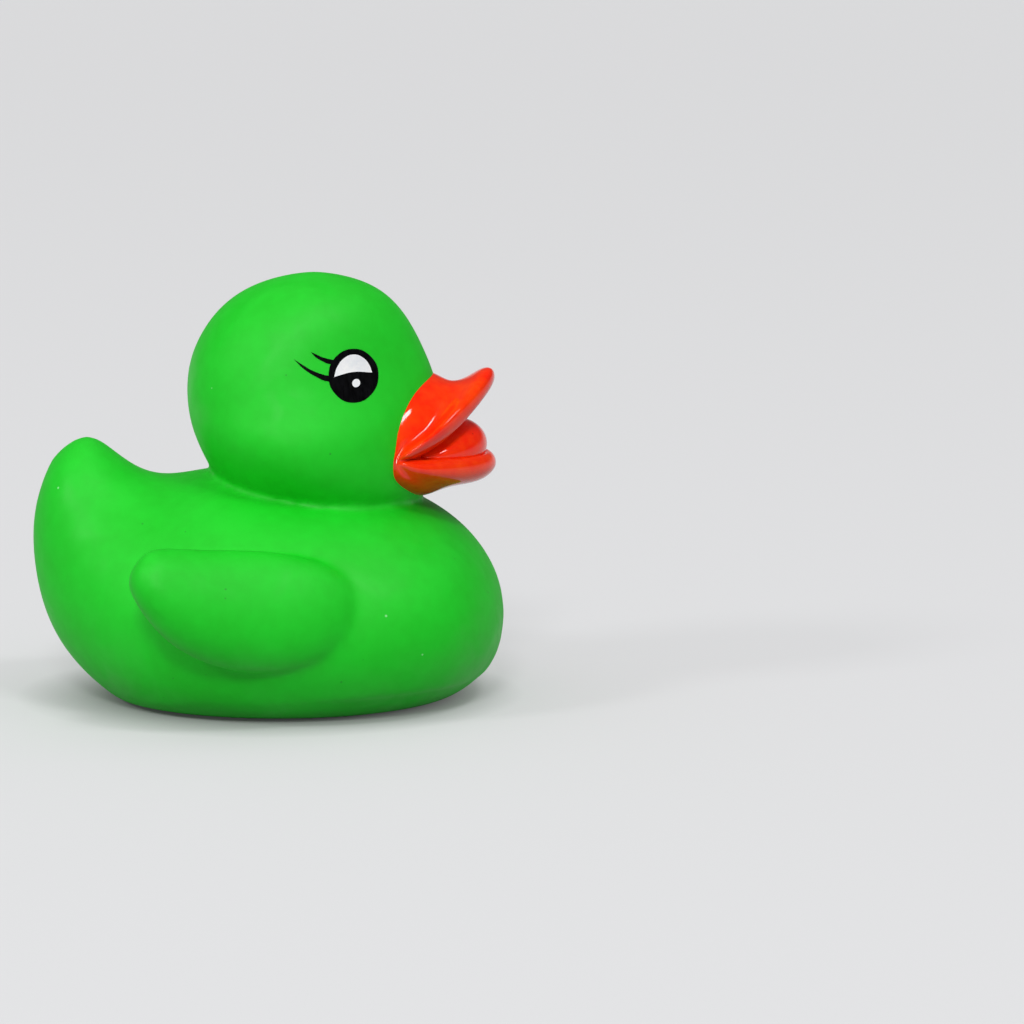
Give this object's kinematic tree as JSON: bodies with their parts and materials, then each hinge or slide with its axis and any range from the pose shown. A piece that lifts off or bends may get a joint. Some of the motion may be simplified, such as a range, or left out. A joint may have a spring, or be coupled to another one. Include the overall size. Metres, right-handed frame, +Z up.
{
  "type": "rubber duck",
  "caption": "Hollow soft vinyl bath duck with swept-back wings, raised tail, round head and open beak, standing on a flat base with a squeaker in it.",
  "frame": {"origin": "on the ground under the middle of the duck, at the centre of the flat base's squeaker hole", "axes": "+X out of the beak, +Y to the duck's left, +Z up"},
  "size_m": [0.0826, 0.0874, 0.075],
  "materials": {
    "green_vinyl": "matt, fine powdery grain",
    "beak_paint": "thick gloss paint",
    "eye_black": "satin pad print",
    "eye_white": "satin pad print",
    "squeaker_plastic": "satin moulded",
    "reed_metal": "bright rolled strip"
  },
  "bodies": {
    "root": {"duck_shell": "green_vinyl", "squeaker_plug": "squeaker_plastic", "squeaker_cap": "squeaker_plastic", "squeaker_reed": "reed_metal"}
  },
  "joints": []
}
